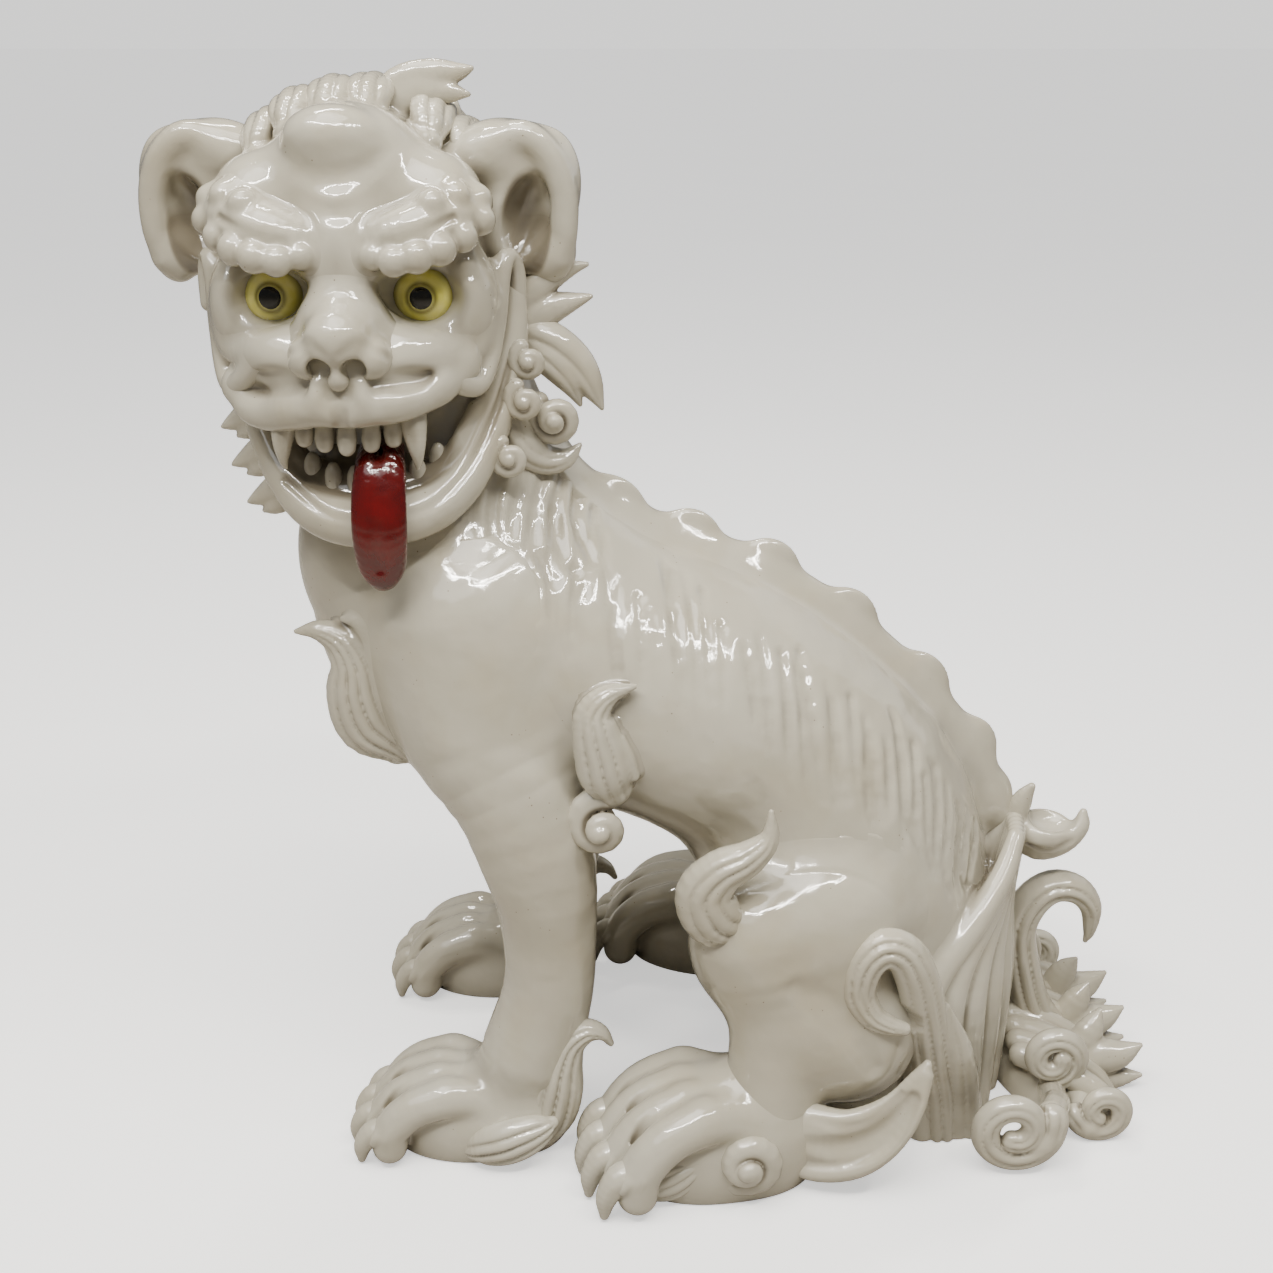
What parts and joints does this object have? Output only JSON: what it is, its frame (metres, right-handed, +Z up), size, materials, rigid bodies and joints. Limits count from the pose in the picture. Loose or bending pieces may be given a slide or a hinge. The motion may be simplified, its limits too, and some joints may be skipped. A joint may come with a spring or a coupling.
{
  "type": "foo dog statue",
  "caption": "Seated guardian lion statue in white glazed ceramic, head turned to its left with tongue out, scalloped back and scrolled tail.",
  "frame": {"origin": "centre of the statue's footprint box, on the surface it stands on", "axes": "+Z up, +X to the dog's left (the side the head looks to), +Y to the dog's rear (tail)"},
  "size_m": [0.3366, 0.5824, 0.6122],
  "materials": {
    "white_glaze": "glossy warm white glaze",
    "red_glaze": "glossy deep red glaze",
    "yellow_glaze": "glossy lemon yellow glaze",
    "black_glaze": "glossy black glaze"
  },
  "bodies": {
    "root": {"chest_tufts": "white_glaze", "crown_leaf": "white_glaze", "crown_tufts": "white_glaze", "dorsal_crest": "white_glaze", "elbow_curls": "white_glaze", "elbow_tufts": "white_glaze", "eyeballs": "yellow_glaze", "fore_shell_tufts": "white_glaze", "head": "white_glaze", "heel_fins": "white_glaze", "heel_tufts": "white_glaze", "hind_shell_tufts": "white_glaze", "hip_locks": "white_glaze", "hock_curls": "white_glaze", "jaw_curls": "white_glaze", "jaw_spikes": "white_glaze", "knee_tufts": "white_glaze", "left_brow": "white_glaze", "left_cheek_fold": "white_glaze", "left_ear": "white_glaze", "left_fore_claws": "white_glaze", "left_foreleg": "white_glaze", "left_haunch": "white_glaze", "left_hind_claws": "white_glaze", "left_hind_paw": "white_glaze", "lower_jaw": "white_glaze", "lower_teeth": "white_glaze", "mane_back_locks": "white_glaze", "mane_leaf": "white_glaze", "mane_lock": "white_glaze", "mane_snail": "white_glaze", "mane_swoop": "white_glaze", "muzzle": "white_glaze", "nose": "white_glaze", "pupils": "black_glaze", "right_brow": "white_glaze", "right_cheek_fold": "white_glaze", "right_ear": "white_glaze", "right_fore_claws": "white_glaze", "right_foreleg": "white_glaze", "right_haunch": "white_glaze", "right_hind_claws": "white_glaze", "right_hind_paw": "white_glaze", "tail_flames": "white_glaze", "tail_hook": "white_glaze", "tail_plume": "white_glaze", "tail_root": "white_glaze", "tail_scrolls": "white_glaze", "tail_top_curl": "white_glaze", "tongue": "red_glaze", "torso": "white_glaze", "upper_fangs": "white_glaze", "upper_incisors": "white_glaze"}
  },
  "joints": []
}
